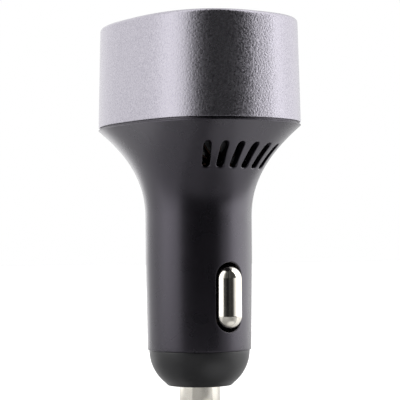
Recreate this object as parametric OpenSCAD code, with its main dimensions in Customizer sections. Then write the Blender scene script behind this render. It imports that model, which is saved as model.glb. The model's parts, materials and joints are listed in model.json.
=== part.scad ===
// Car USB charger plug: an oval metal head on a flared neck and a 12 V socket barrel.
// The plug's axis is Z, its centre contact points down and its tip is at the origin.
// The head's long side and the two sprung side contacts lie along X.

/* [Plug barrel] */
// Diameter of the barrel's straight part, under the neck
barrel_d = 21.1; // [20.6:0.1:21.6]
// How far the barrel narrows to its lower end, on each side
barrel_draft = 0.3; // [0:0.05:0.5]
// Height of the straight part
barrel_straight_h = 8.2; // [8:0.2:14]
// Height of the part with draft, which holds the side contacts
barrel_draft_h = 17.9; // [17.4:0.2:22]
// Thickness of the barrel's wall
barrel_wall = 1.7; // [1.4:0.1:2]

/* [Neck] */
// Height of the flare from the barrel to the lip
neck_h = 17.4; // [14:0.2:20]
// How the flare opens: 2 is a parabola
neck_power = 2; // [1.6:0.1:2.6]
// Thickness of the flare's wall at its top, measured level
neck_wall = 2; // [1.6:0.1:2.4]
// Height of the upright lip round the flare's top edge
lip_h = 0.5; // [0.3:0.1:0.8]
// Height of the dark reveal between the lip and the metal head
reveal_h = 0.4; // [0.2:0.1:0.6]
// Depth of the reveal
reveal_depth = 0.55; // [0.3:0.05:0.8]

/* [Vent slots] */
// Number of slots on each end of the oval
slot_count = 6; // [3:1:6]
// Angle from one slot to the next
slot_step = 11.5; // [10:0.5:12.5]
// Width of a slot
slot_w = 1.6; // [1:0.1:1.8]
// Height of a slot
slot_h = 4.7; // [3:0.1:5.5]
// Distance from the lip down to the slots' upper end
slot_drop = 3.3; // [3:0.1:4.5]

/* [Head] */
// Length of the oval head at its lower edge
head_len = 43.5; // [42:0.5:48]
// Width of the oval head at its lower edge
head_wid = 33.6; // [33:0.2:38]
// Height of the metal head shell
head_h = 20.2; // [19.6:0.2:24]
// Squareness of the oval: 2 is an ellipse
squareness = 2.6; // [2.3:0.1:3.2]
// How far the shell leans in from its lower edge to its top, on each side
head_draft = 0.45; // [0:0.05:0.8]
// Thickness of the metal shell
shell_wall = 1.3; // [1:0.1:1.6]
// Radius of the shell's rounded top edge
shell_round = 0.8; // [0.3:0.1:1]
// Gap between the metal shell and what stands inside it
shell_gap = 0.15; // [0.1:0.05:0.3]
// Thickness of the collar that carries the shell
collar_wall = 1.5; // [1.2:0.1:1.8]
// Depth of the face plate under the shell's rim
plate_recess = 0.7; // [0.3:0.1:1.2]
// Thickness of the face plate
plate_t = 2; // [1.6:0.1:2.6]

/* [USB ports] */
// Width of a port's steel shell
port_w = 13.1; // [12.9:0.1:13.4]
// Height of a port's steel shell
port_h = 5.7; // [5.5:0.1:5.9]
// Length of a port's steel shell
port_len = 14.1; // [13:0.1:15]
// Thickness of the port's steel
port_wall = 0.3; // [0.2:0.05:0.4]
// Depth of the port's mouth under the face plate's surface
mouth_recess = 0.4; // [0.1:0.1:0.8]
// Thickness of the port's tongue
tongue_t = 1.84; // [1.7:0.02:1.9]
// Gap between a port's shell and the face plate's opening
port_gap = 0.15; // [0.1:0.05:0.3]

/* [Side contacts] */
// Width of a side contact
contact_w = 5.3; // [5:0.1:5.6]
// Length of a side contact
contact_len = 12.3; // [10.5:0.1:12.6]
// How far a side contact stands out of the barrel
contact_reach = 2; // [1.4:0.1:2.2]
// Height of the side contacts' middle above the barrel's end
contact_rise = 10.5; // [10.3:0.1:11]
// Thickness of the contact's drawn metal
contact_wall = 0.4; // [0.3:0.05:0.5]
// Gap between a contact's sides and its window
window_gap_side = 0.3; // [0.2:0.05:0.5]
// Gap between a contact's ends and its window
window_gap_end = 0.6; // [0.5:0.05:1]
// How far the flanges along a contact's sides reach behind the barrel's wall
flange_lap = 0.65; // [0.5:0.05:0.8]
// Thickness of the leaf springs behind the side contacts
leaf_t = 0.3; // [0.2:0.05:0.4]
// Width of the leaf springs
leaf_w = 5.6; // [4.8:0.1:6]

/* [Nose and centre contact] */
// Height of the nose under the barrel
nose_h = 7; // [6:0.2:9]
// Diameter of the nose at its lower end
nose_end_d = 13.6; // [13.2:0.2:15]
// How far the nose is set in from the barrel's edge
nose_step = 0.3; // [0.1:0.1:0.6]
// Thickness of the nose's floor, which stops the centre contact
nose_floor = 1.6; // [1.2:0.1:2]
// Distance from the nose's spigot up to the side contacts' windows
spigot_gap = 0.5; // [0.3:0.1:1]
// Diameter of the centre contact
pin_d = 8; // [7:0.2:8.4]
// How far the centre contact stands out of the nose
pin_reach = 6; // [5:0.2:7]
// Gap round the centre contact
pin_gap = 0.1; // [0.05:0.05:0.2]
// Width of the flange that keeps the centre contact in
pin_flange = 1.4; // [1:0.1:1.5]
// Thickness of that flange
pin_flange_t = 1.4; // [1:0.1:2]
// Length of the spring behind the centre contact
spring_len = 10; // [9:0.2:12]
// Thickness of the spring's wire
spring_wire = 0.7; // [0.5:0.05:0.8]
// Number of the spring's turns
spring_turns = 6; // [4:1:7]

/* [Boards] */
// Thickness of the circuit boards
board_t = 1.6; // [1:0.1:1.6]
// Gap between the upright board's edges and the barrel's wall
board_gap = 1.05; // [0.6:0.05:1.4]
// How far the ribs that guide the upright board reach over its edges
board_grip = 1.2; // [0.8:0.1:1.4]
// Width of the tab that joins the upright board to the port board
tab_w = 6; // [4:0.2:7]
// Distance of the two screws from the collar's wall
screw_edge = 2; // [1.8:0.1:2.2]
// Diameter of a screw's shank
screw_d = 1.8; // [1.6:0.1:2]
// Length of a screw under its head
screw_len = 5.6; // [5:0.2:6.4]
// Outer diameter of the toroid choke's core
choke_d = 11; // [9:0.5:12]

/* [Hidden] */

$fn = 64;
ring_points = 96;       // points round an oval section
neck_steps = 16;        // rings up the outside of the flare
inner_steps = 8;        // rings up its inside
round_steps = 4;        // rings round the shell's top edge
slip = 0.05;            // clearance between parts that only have to go together
cut = 1;                // how far a cutting shape runs past the face that it cuts

// Centre contact's boss inside the spring, and the spring's brass seat
terminal_t = 0.4;
terminal_rim = 0.6;
terminal_tab = [3, 4.6];
boss_share = 0.55;      // the boss's radius as a share of the contact's
pin_round_share = 0.7;  // radius of the contact's rounded end, as such a share
pin_boss_h = 2;
coil_gap = 0.5;

// Levels, from the tip of the centre contact upwards
nose_z = pin_reach;
barrel_z = nose_z + nose_h;
straight_z = barrel_z + barrel_draft_h;
neck_z = straight_z + barrel_straight_h;
lip_z = neck_z + neck_h;
rim_z = lip_z + lip_h;
seat_z = rim_z + reveal_h;
top_z = seat_z + head_h;
plate_top_z = top_z - plate_recess;
plate_z = plate_top_z - plate_t;
port_mouth_z = plate_top_z - mouth_recess;
port_foot_z = port_mouth_z - port_len;
port_board_z = port_foot_z - board_t;
shoulder_z = nose_z + nose_floor;
terminal_z = shoulder_z + pin_flange_t + spring_len;

board_z = terminal_z + terminal_t;
contact_z = barrel_z + contact_rise;

// Radii and half lengths
barrel_r = barrel_d / 2;
barrel_end_r = barrel_r - barrel_draft;
bore_r = barrel_r - barrel_wall;
neck_step = 0.05;       // the neck starts this far inside the barrel's two faces
neck_r = barrel_r - neck_step;
neck_low_wall = barrel_wall - 2 * neck_step;
half_len = head_len / 2;
half_wid = head_wid / 2;
collar_inset = shell_wall + head_draft + shell_gap;
room_inset = collar_inset + collar_wall;
room_half_len = half_len - room_inset;
room_half_wid = half_wid - room_inset;
board_w = 2 * (bore_r - board_gap);
port_pitch = room_half_len;
screw_off = room_half_wid - screw_edge;

// Side contacts: where the window's wall is, and the flat seat behind it
contact_r = contact_w / 2;
window_wall_r = barrel_end_r + (barrel_r - barrel_end_r) * contact_rise / barrel_draft_h;
crest_x = window_wall_r + contact_reach;
contact_axis_x = crest_x - contact_r;
window_w = contact_w + 2 * window_gap_side;
window_len = contact_len + 2 * window_gap_end;
flange_w = window_w + 2 * flange_lap;
flange_short = 1;       // how far the flanges end before each end of the contact
flange_len = contact_len - 2 * flange_short;
seat_depth = 0.45;      // how far the flat seat lies inside the bore's radius
seat_x = bore_r - seat_depth;
pocket_gap = 0.2;

// Guide ribs of the upright board, and the port board's gap inside the collar
rib_t = 1;
board_room_gap = 0.25;

// Leaf springs: a foot on the board, a bend, a straight leg and a knuckle on the flange
leaf_angle = 50;
leaf_bend = 1.2;
leaf_knuckle = 1.5;
leaf_tail = 60;
leaf_foot = 3;
leaf_foot_x = board_t / 2 + leaf_t / 2;
leaf_knuckle_x = seat_x - contact_wall - leaf_t / 2;
leaf_out = leaf_knuckle_x - leaf_foot_x;
leaf_curves = leaf_bend + leaf_knuckle;
leaf_leg = (leaf_out - leaf_curves * (1 - cos(leaf_angle))) / sin(leaf_angle);
leaf_drop = leaf_curves * sin(leaf_angle) + leaf_leg * cos(leaf_angle);

// The nose's spigot ends under the side contacts' windows
spigot_z = contact_z - window_len / 2 - spigot_gap;

// Screws and their bosses, which end on the flare's wall
boss_r = 2.5;
boss_drop = 2.9;
boss_z = lip_z - boss_drop;
boss_room = 1.6;        // clearance between a boss and the upright board's upper part
board_top_w = 2 * (screw_off - boss_r - boss_room);
screw_head_r = 1.7;
screw_head_h = 1.3;
screw_head_taper = 0.75;
screw_slot = [2, 0.45, 0.6];
screw_play = 0.3;       // clearance round a screw in the port board
screw_hole_spare = 0.4; // depth of a screw's hole past its end

// Lens and lamp in the face
lens_r = 1.2;
lens_y = (port_h / 2 + screw_off - screw_head_r) / 2;
lens_flange_r = 1.7;
lens_flange_t = 0.8;
lamp_size = [1.6, 0.8, 0.7];
lamp_gap = 0.2;

// Insides of a port
port_corner = 0.8;
port_base_h = 4;
tongue_back = 0.45;
tongue_side = 0.6;
tongue_short = 0.9;
pad_t = 0.15;
pad_w = 1;
pad_pitch = 2.25;
pad_long = 7.6;
pad_short = 6.6;
port_room_w = port_w - 2 * port_wall - 2 * slip;
port_room_h = port_h - 2 * port_wall - 2 * slip;
tongue_y = port_room_h / 2 - tongue_back - tongue_t;

// Parts on the upright board, stacked upwards from the leaf springs' feet
part_gap = 0.8;
parts_z = contact_z + leaf_drop + leaf_foot + part_gap;
small_can_gap = 1.75;
small_can_r = (bore_r - board_t / 2 - small_can_gap) / 2;
small_can_h = 8;
choke_h = 4.4;
choke_wire = 0.6;
choke_turns = 14;
choke_ring = 2.9;
choke_bore_r = choke_d / 2 - choke_ring;
choke_z = parts_z + small_can_h + part_gap + choke_d / 2 + choke_wire + slip;
can_r = 4;
can_h = 11;
can_crimp_z = 2;        // where a can's crimped groove starts, above its foot
can_crimp_h = 0.7;
can_crimp_depth = 0.25;
can_score = [0.2, 0.15];
can_score_share = 0.7;
can_gap = 0.3;
can_z = neck_z + neck_h * room_share(board_t / 2 + 2 * can_r + can_gap) + part_gap;
chip_size = [1.5, 5, 4];
chip_lift = 0.1;
chip_leg = [0.5, 0.4, 1];
chip_leg_lap = 0.05;
chip_legs = 4;
chip_pitch = 1.27;
chip_z = parts_z + chip_leg[2] + chip_size[2] / 2;
chip_gap = 0.9;
diode_size = [2.1, 2.4, 4];
diode_y = board_w / 2 - board_grip - part_gap - diode_size[1] / 2;
chip_y = diode_y - diode_size[1] / 2 - chip_gap - chip_size[1] / 2;
fuse_size = [1.9, 2.6, 6.1];
fuse_rise = 1.6;
fuse_z = board_z + fuse_rise;

function oval_r(angle, a, b) =
    pow(pow(abs(cos(angle)) / a, squareness) + pow(abs(sin(angle)) / b, squareness), -1 / squareness);

function ring(a, b, z) =
    [for (i = [0:ring_points - 1]) let (angle = i * 360 / ring_points)
        let (r = oval_r(angle, a, b)) [r * cos(angle), r * sin(angle), z]];

// A section of the flare at height share t: the barrel's circle turns into the head's oval
function neck_ring(t, inset) =
    [for (i = [0:ring_points - 1])
        let (angle = i * 360 / ring_points)
        let (far = oval_r(angle, half_len, half_wid))
        let (r = neck_r + (far - neck_r) * pow(t, neck_power) - inset)
        [r * cos(angle), r * sin(angle), neck_z + t * neck_h]];

// Height share at which the flare's inside first leaves room for a reach along X
function room_share(reach) =
    pow(max(0, reach + neck_wall - neck_r) / (half_len - neck_r), 1 / neck_power);

function flat(points) = [for (p = points) [p[0], p[1]]];

// A closed wall through a list of rings, where the last ring joins the first
module ring_wall(rings) {
    n = len(rings[0]);
    m = len(rings);
    polyhedron(
        points = [for (r = rings) each r],
        faces = [for (j = [0:m - 1]) for (i = [0:n - 1])
            let (a = j * n + i, b = j * n + (i + 1) % n)
            let (d = ((j + 1) % m) * n + i, c = ((j + 1) % m) * n + (i + 1) % n)
            each [[a, c, b], [a, d, c]]],
        convexity = 6);
}

// A flat shape of given size with round ends, its long side along Y
module slot_2d(w, len) {
    square([w, len - w], center = true);
    for (s = [-1, 1]) translate([0, s * (len - w) / 2]) circle(d = w);
}

module round_box_2d(w, h, r) {
    square([w - 2 * r, h], center = true);
    square([w, h - 2 * r], center = true);
    for (x = [-1, 1], y = [-1, 1]) translate([x * (w / 2 - r), y * (h / 2 - r)]) circle(r = r, $fn = 32);
}

// Points along X, standing in the YZ plane: for windows and slots through the wall
module along_x(from, to) {
    translate([from, 0, 0]) rotate([90, 0, 90]) linear_extrude(to - from) children();
}

module vent_slots() {
    first = -(slot_count - 1) / 2 * slot_step;
    for (side = [0, 180], i = [0:slot_count - 1])
        rotate(side + first + i * slot_step)
            translate([0, 0, lip_z - slot_drop - slot_h / 2])
                along_x(bore_r - cut, half_len + cut) slot_2d(slot_w, slot_h);
}

module contact_windows() {
    for (side = [0, 180]) rotate(side) translate([0, 0, contact_z]) {
        along_x(bore_r - 2 * cut, barrel_r + cut) slot_2d(window_w, window_len);
        along_x(bore_r - 2 * cut, seat_x)
            square([flange_w + 2 * pocket_gap, flange_len + 2 * pocket_gap], center = true);
    }
}

// Guide ribs for the upright board, in pairs on the barrel's inner wall
module board_ribs() {
    from = board_w / 2 - board_grip;
    to = bore_r + barrel_wall / 4;
    for (turn = [0, 180], face = [0, 1]) rotate(turn) mirror([face, 0, 0])
        translate([board_t / 2 + slip, from, board_z]) cube([rib_t, to - from, neck_z - board_z]);
}

module screw_bosses() {
    for (side = [-1, 1]) translate([0, side * screw_off, boss_z])
        cylinder(r = boss_r, h = port_board_z - boss_z);
}

module screw_holes() {
    low = port_foot_z - screw_len - screw_hole_spare;
    for (side = [-1, 1]) translate([0, side * screw_off, low])
        cylinder(d = screw_d + 2 * slip, h = port_foot_z - low);
}

module housing() {
    outside = [for (j = [0:neck_steps]) neck_ring(j / neck_steps, 0)];
    lip = ring(half_len, half_wid, rim_z);
    reveal = [for (z = [rim_z, seat_z]) ring(half_len - reveal_depth, half_wid - reveal_depth, z)];
    collar_out = [for (z = [seat_z, plate_z]) ring(half_len - collar_inset, half_wid - collar_inset, z)];
    collar_in = [for (z = [plate_z, rim_z]) ring(half_len - room_inset, half_wid - room_inset, z)];
    inside = [for (j = [inner_steps:-1:0]) let (t = j / inner_steps)
        neck_ring(t, neck_low_wall + (neck_wall - neck_low_wall) * t)];
    color("#2b2c31") difference() {
        union() {
            ring_wall(concat(outside, [lip], reveal, collar_out, collar_in, inside));
            translate([0, 0, straight_z]) difference() {
                cylinder(r = barrel_r, h = barrel_straight_h);
                translate([0, 0, -cut]) cylinder(r = bore_r, h = barrel_straight_h + 2 * cut);
            }
            translate([0, 0, barrel_z]) difference() {
                cylinder(r1 = barrel_end_r, r2 = barrel_r, h = barrel_draft_h);
                translate([0, 0, -cut]) cylinder(r = bore_r, h = barrel_draft_h + 2 * cut);
            }
            board_ribs();
            screw_bosses();
        }
        vent_slots();
        contact_windows();
        screw_holes();
    }
}

module head_shell() {
    bottom_edge = 0.2;
    lean = function (z) head_draft * (z - seat_z) / head_h;
    low = ring(half_len - bottom_edge, half_wid - bottom_edge, seat_z);
    side = [for (z = [seat_z + bottom_edge, top_z - shell_round])
        ring(half_len - lean(z), half_wid - lean(z), z)];
    top = [for (k = [1:round_steps])
        let (angle = 90 * k / round_steps, z = top_z - shell_round * (1 - sin(angle)))
        let (inset = head_draft + shell_round * (1 - cos(angle)))
        ring(half_len - inset, half_wid - inset, z)];
    inner = shell_wall + head_draft;
    inside = [for (z = [top_z, seat_z]) ring(half_len - inner, half_wid - inner, z)];
    color("#8d8b92") ring_wall(concat([low], side, top, inside));
}

module face_plate() {
    color("#18181a") difference() {
        translate([0, 0, plate_z]) linear_extrude(plate_t)
            polygon(flat(ring(half_len - collar_inset, half_wid - collar_inset, 0)));
        for (side = [-1, 1]) translate([side * port_pitch / 2, 0, plate_z - cut])
            linear_extrude(plate_t + 2 * cut)
                round_box_2d(port_w + 2 * port_gap, port_h + 2 * port_gap, port_corner + port_gap);
        translate([0, lens_y, plate_z - cut]) cylinder(r = lens_r + slip, h = plate_t + 2 * cut);
    }
}

module indicator_lens() {
    foot_z = port_foot_z + lamp_size[2] + lamp_gap;
    color("#e8f2ff") translate([0, lens_y, 0]) {
        translate([0, 0, foot_z]) cylinder(r = lens_r, h = plate_top_z - foot_z);
        translate([0, 0, plate_z - lens_flange_t]) cylinder(r = lens_flange_r, h = lens_flange_t);
    }
}

// The nose's side is one arc, upright where it meets the barrel
module nose_cap() {
    base_r = barrel_end_r - nose_step;
    end_r = nose_end_d / 2;
    edge = 0.5;
    side_h = nose_h - edge;
    side_in = base_r - end_r;
    arc_r = (side_in * side_in + side_h * side_h) / (2 * side_in);
    hole_r = pin_d / 2 + pin_gap;
    well_r = pin_d / 2 + pin_flange + 2 * pin_gap;
    color("#1f2024") rotate_extrude() difference() {
        union() {
            intersection() {
                translate([base_r - arc_r, barrel_z]) circle(r = arc_r, $fn = 96);
                translate([0, nose_z + edge]) square([base_r, side_h]);
            }
            polygon([[0, nose_z], [end_r - edge, nose_z], [end_r, nose_z + edge], [0, nose_z + edge]]);
            translate([0, barrel_z - slip]) square([bore_r - slip, spigot_z - barrel_z + slip]);
        }
        translate([0, nose_z - cut]) square([hole_r, nose_floor + 2 * cut]);
        translate([0, shoulder_z]) square([well_r, spigot_z - shoulder_z + cut]);
    }
}

module centre_contact() {
    r = pin_d / 2;
    round_r = r * pin_round_share;
    color("#c9c9c6") rotate_extrude() {
        translate([0, round_r]) square([r, shoulder_z - round_r]);
        square([r - round_r, round_r]);
        intersection() {
            translate([r - round_r, round_r]) circle(r = round_r);
            square([r, round_r]);
        }
        translate([0, shoulder_z]) square([r + pin_flange, pin_flange_t]);
        translate([0, shoulder_z]) square([r * boss_share, pin_flange_t + pin_boss_h]);
    }
}

// One wire swept along a helix, whose first and last turns lie against the next one
module centre_spring() {
    sides = 8;
    steps = 16;
    wire_r = spring_wire / 2;
    coil_r = pin_d / 2 * boss_share + wire_r + coil_gap;
    low = shoulder_z + pin_flange_t + wire_r;
    high = terminal_z - wire_r;
    closed = 1.1 * spring_wire;
    open = (high - low - 2 * closed) / (spring_turns - 2);
    count = spring_turns * steps;
    height = function (u)
        u < 1 ? u * closed :
        u > spring_turns - 1 ? high - low - (spring_turns - u) * closed : closed + (u - 1) * open;
    points = [for (k = [0:count]) let (u = k / steps, turn = 360 * u)
        for (s = [0:sides - 1]) let (w = 360 * s / sides, r = coil_r + wire_r * cos(w))
            [r * cos(turn), r * sin(turn), low + height(u) + wire_r * sin(w)]];
    walls = [for (k = [0:count - 1]) for (s = [0:sides - 1])
        let (a = k * sides + s, b = k * sides + (s + 1) % sides)
        each [[a, b, b + sides], [a, b + sides, a + sides]]];
    start = [for (s = [sides - 1:-1:0]) s];
    end = [for (s = [0:sides - 1]) count * sides + s];
    color("#b9bcc0") polyhedron(points, concat(walls, [start, end]));
}

module tip_terminal() {
    color("#c9a54e") {
        translate([0, 0, terminal_z]) cylinder(r = pin_d / 2 + terminal_rim, h = terminal_t);
        translate([board_t / 2 + slip, -terminal_tab[0] / 2, terminal_z])
            cube([terminal_t, terminal_tab[0], terminal_tab[1]]);
    }
}

// An upright capsule whose axis stands at x
module capsule(r, len, x) {
    straight = len - 2 * r;
    translate([x, 0, -straight / 2]) cylinder(r = r, h = straight);
    for (s = [-1, 1]) translate([x, 0, s * straight / 2]) sphere(r = r);
}

// A drawn cup in the shape of half a capsule. A flat flange along each side stops it behind the wall.
module side_contact() {
    inner_r = contact_r - contact_wall;
    inner_len = contact_len - 2 * contact_wall;
    color("#d8d8d2") translate([0, 0, contact_z]) difference() {
        union() {
            intersection() {
                capsule(contact_r, contact_len, contact_axis_x);
                translate([contact_axis_x, -contact_w, -contact_len])
                    cube([contact_w, 2 * contact_w, 2 * contact_len]);
            }
            along_x(seat_x - contact_wall, contact_axis_x) slot_2d(contact_w, contact_len);
            along_x(seat_x - contact_wall, seat_x) square([flange_w, flange_len], center = true);
        }
        intersection() {
            capsule(inner_r, inner_len, contact_axis_x);
            translate([contact_axis_x - slip, -contact_w, -contact_len])
                cube([contact_w, 2 * contact_w, 2 * contact_len]);
        }
        along_x(seat_x - contact_wall - cut, contact_axis_x) slot_2d(2 * inner_r, inner_len);
    }
}

// A stretch of bent strip about the origin, from one angle to another, with a short lap at each end
module arc_strip(r, from, to) {
    far = 2 * r;
    lap = 1.5;
    intersection() {
        difference() {
            circle(r = r + leaf_t / 2);
            circle(r = r - leaf_t / 2);
        }
        polygon([[0, 0], for (k = [0:2]) let (a = from - lap + (to - from + 2 * lap) * k / 2)
            [far * cos(a), far * sin(a)]]);
    }
}

// A bent strip whose knuckle presses on the contact's flange and whose foot is soldered to the board
module contact_spring() {
    leg_x = leaf_foot_x + leaf_bend * (1 - cos(leaf_angle));
    leg_z = leaf_drop - leaf_bend * sin(leaf_angle);
    color("#c4c4bf") translate([0, leaf_w / 2, contact_z]) rotate([90, 0, 0]) linear_extrude(leaf_w) {
        translate([leaf_foot_x - leaf_t / 2, leaf_drop]) square([leaf_t, leaf_foot]);
        translate([leaf_foot_x + leaf_bend, leaf_drop]) arc_strip(leaf_bend, 180, 180 + leaf_angle);
        translate([leg_x, leg_z]) rotate(leaf_angle - 90)
            translate([0, -leaf_t / 2]) square([leaf_leg, leaf_t]);
        translate([leaf_knuckle_x - leaf_knuckle, 0]) arc_strip(leaf_knuckle, -leaf_tail, leaf_angle);
    }
}

// The board fills the barrel, narrows between the bosses and ends in a tab through the port board
module main_board() {
    shoulder = boss_z - boss_room;
    color("#1d5a35") {
        translate([-board_t / 2, -board_w / 2, board_z]) cube([board_t, board_w, shoulder - board_z]);
        translate([-board_t / 2, -board_top_w / 2, board_z])
            cube([board_t, board_top_w, port_board_z - board_z]);
        translate([-board_t / 2, -tab_w / 2, board_z]) cube([board_t, tab_w, port_foot_z - board_z]);
    }
}

module port_board() {
    inset = room_inset + board_room_gap;
    color("#1d5a35") difference() {
        translate([0, 0, port_board_z]) linear_extrude(board_t)
            polygon(flat(ring(half_len - inset, half_wid - inset, 0)));
        translate([-board_t / 2 - slip, -tab_w / 2 - slip, port_board_z - cut])
            cube([board_t + 2 * slip, tab_w + 2 * slip, board_t + 2 * cut]);
        for (side = [-1, 1]) translate([0, side * screw_off, port_board_z - cut])
            cylinder(d = screw_d + screw_play, h = board_t + 2 * cut);
    }
}

module board_screws() {
    color("#b7b9bd") for (side = [-1, 1]) translate([0, side * screw_off, port_foot_z]) difference() {
        union() {
            translate([0, 0, -screw_len]) cylinder(d = screw_d, h = screw_len + screw_head_h / 2);
            cylinder(r1 = screw_head_r, r2 = screw_head_r * screw_head_taper, h = screw_head_h);
        }
        for (turn = [0, 90]) rotate(turn) translate([0, 0, screw_head_h])
            cube([screw_slot[0], screw_slot[1], 2 * screw_slot[2]], center = true);
    }
}

module usb_shell() {
    finger_w = 1.8;
    finger_h = 4.4;
    finger_drop = 3;
    finger_cut = 0.3;
    color("#c3c5c8") translate([0, 0, port_foot_z]) difference() {
        linear_extrude(port_len) round_box_2d(port_w, port_h, port_corner);
        translate([0, 0, -cut]) linear_extrude(port_len + 2 * cut)
            round_box_2d(port_w - 2 * port_wall, port_h - 2 * port_wall, port_corner - port_wall);
        for (x = [-1, 1])
            translate([x * port_w / 4 - finger_w / 2, -port_h, port_len - finger_drop - finger_h])
                difference() {
                    cube([finger_w, 2 * port_h, finger_h]);
                    translate([finger_cut, -cut, -cut])
                        cube([finger_w - 2 * finger_cut, 2 * port_h + 2 * cut, finger_h + cut - finger_cut]);
                }
    }
}

module usb_tongue() {
    color("#e9e9e6") translate([0, 0, port_foot_z]) {
        linear_extrude(port_base_h) round_box_2d(port_room_w, port_room_h, port_corner - port_wall);
        translate([tongue_side - port_room_w / 2, tongue_y, 0])
            cube([port_room_w - 2 * tongue_side, tongue_t, port_len - tongue_short]);
    }
}

module usb_pins() {
    color("#d2ab4a") for (i = [0:3])
        let (long = (i == 0 || i == 3) ? pad_long : pad_short)
        translate([(i - 1.5) * pad_pitch - pad_w / 2, tongue_y - pad_t, port_foot_z + port_base_h])
            cube([pad_w, pad_t, long]);
}

module at_port(side) {
    translate([side * port_pitch / 2, 0, 0]) children();
}

module choke_core() {
    color("#4a4d52") translate([board_t / 2 + choke_wire + slip, 0, choke_z]) rotate([0, 90, 0])
        difference() {
            cylinder(d = choke_d, h = choke_h);
            translate([0, 0, -cut]) cylinder(r = choke_bore_r, h = choke_h + 2 * cut);
        }
}

// Turns of wire round the ring, each a rectangular loop about the core's section
module choke_winding() {
    reach = choke_d / 2 - choke_bore_r;
    step = 360 / choke_turns;
    color("#b4622c") translate([board_t / 2 + choke_wire + slip, 0, choke_z]) rotate([0, 90, 0])
        for (i = [0:choke_turns - 1]) rotate((i + 0.5) * step)
            translate([choke_bore_r - slip - choke_wire, -choke_wire / 2, -slip - choke_wire]) difference() {
                cube([reach + 2 * slip + 2 * choke_wire, choke_wire, choke_h + 2 * slip + 2 * choke_wire]);
                translate([choke_wire, -cut, choke_wire])
                    cube([reach + 2 * slip, choke_wire + 2 * cut, choke_h + 2 * slip]);
            }
}

// A can with a crimped groove near its foot and a scored cross in its top
module can(r, h) {
    difference() {
        cylinder(r = r, h = h);
        translate([0, 0, can_crimp_z]) difference() {
            cylinder(r = r + cut, h = can_crimp_h);
            translate([0, 0, -cut]) cylinder(r = r - can_crimp_depth, h = can_crimp_h + 2 * cut);
        }
        for (turn = [0, 90]) rotate(turn) translate([0, 0, h])
            cube([2 * r * can_score_share, can_score[0], 2 * can_score[1]], center = true);
    }
}

module input_capacitor() {
    color("#3c3f66") translate([-board_t / 2 - can_r, 0, can_z]) can(can_r, can_h);
}

module output_capacitor() {
    color("#3c3f66") translate([board_t / 2 + small_can_r, 0, parts_z]) can(small_can_r, small_can_h);
}

module converter_chip() {
    leg_off = chip_size[2] / 2 + chip_leg[2] / 2 - chip_leg_lap;
    color("#26272a") translate([-board_t / 2 - chip_size[0], chip_y, chip_z]) {
        translate([0, -chip_size[1] / 2, -chip_size[2] / 2])
            cube([chip_size[0] - chip_lift, chip_size[1], chip_size[2]]);
        for (side = [-1, 1], i = [0:chip_legs - 1]) {
            y = (i - (chip_legs - 1) / 2) * chip_pitch;
            translate([chip_size[0] - chip_leg[0] / 2, y, side * leg_off]) cube(chip_leg, center = true);
        }
    }
}

module rectifier_diode() {
    color("#26272a") translate([-board_t / 2 - diode_size[0] / 2, diode_y, chip_z])
        cube(diode_size, center = true);
}

module input_fuse() {
    color("#d8d5c4") translate([-board_t / 2 - fuse_size[0] / 2, 0, fuse_z + fuse_size[2] / 2])
        cube(fuse_size, center = true);
}

module indicator_lamp() {
    color("#f2efdc") translate([-lamp_size[0] / 2, lens_y - lamp_size[1] / 2, port_foot_z]) cube(lamp_size);
}

housing();
head_shell();
face_plate();
indicator_lens();
nose_cap();
centre_contact();
centre_spring();
tip_terminal();
side_contact();  // side_contact_right
rotate(180) side_contact();  // side_contact_left
contact_spring();  // contact_spring_right
rotate(180) contact_spring();  // contact_spring_left
main_board();
port_board();
board_screws();
at_port(-1) usb_shell();  // usb_shell_left
at_port(1) usb_shell();  // usb_shell_right
at_port(-1) usb_tongue();  // usb_tongue_left
at_port(1) usb_tongue();  // usb_tongue_right
at_port(-1) usb_pins();  // usb_pins_left
at_port(1) usb_pins();  // usb_pins_right
choke_core();
choke_winding();
input_capacitor();
output_capacitor();
converter_chip();
rectifier_diode();
input_fuse();
indicator_lamp();
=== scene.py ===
# %% [markdown]
# # A USB charger for a car's 12 V socket
# An oval metal head with two ports sits on a flared plastic neck with vent slots. Under it are a
# barrel with two sprung side contacts, a nose ring and a sprung tip. The frame gives every part's
# place and size in metres. This lesson gives the parts their looks: it makes new skins where the
# real part has rounded edges or a curved form, and a finish for each surface.

# %% Load the frame
import json
import math

import bmesh
import bpy
import numpy as np
from mathutils import Matrix, Vector


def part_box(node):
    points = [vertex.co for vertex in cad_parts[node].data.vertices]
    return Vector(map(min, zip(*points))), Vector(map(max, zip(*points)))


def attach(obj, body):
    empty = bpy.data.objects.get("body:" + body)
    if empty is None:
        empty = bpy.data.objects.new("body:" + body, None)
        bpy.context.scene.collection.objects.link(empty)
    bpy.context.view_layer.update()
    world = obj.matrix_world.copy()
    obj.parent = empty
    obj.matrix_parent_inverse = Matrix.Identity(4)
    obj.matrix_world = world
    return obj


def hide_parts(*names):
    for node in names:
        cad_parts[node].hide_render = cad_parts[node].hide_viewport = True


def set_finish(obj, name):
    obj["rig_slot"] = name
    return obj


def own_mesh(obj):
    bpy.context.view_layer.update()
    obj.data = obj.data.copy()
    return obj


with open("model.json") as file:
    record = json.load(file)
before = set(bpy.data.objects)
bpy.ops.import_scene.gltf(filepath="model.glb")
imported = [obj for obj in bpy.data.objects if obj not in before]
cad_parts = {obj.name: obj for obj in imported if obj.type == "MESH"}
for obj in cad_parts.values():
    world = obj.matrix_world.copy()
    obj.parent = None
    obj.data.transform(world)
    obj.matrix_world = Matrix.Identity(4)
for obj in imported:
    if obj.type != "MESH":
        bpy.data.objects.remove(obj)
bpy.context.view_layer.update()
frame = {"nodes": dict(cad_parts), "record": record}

# %% [markdown]
# ## The camera
# The photograph was taken from a little below the head, with a long lens. The lens follows from the
# picture's scale at the plug's axis. It is set first, because it says what shows.

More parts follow.
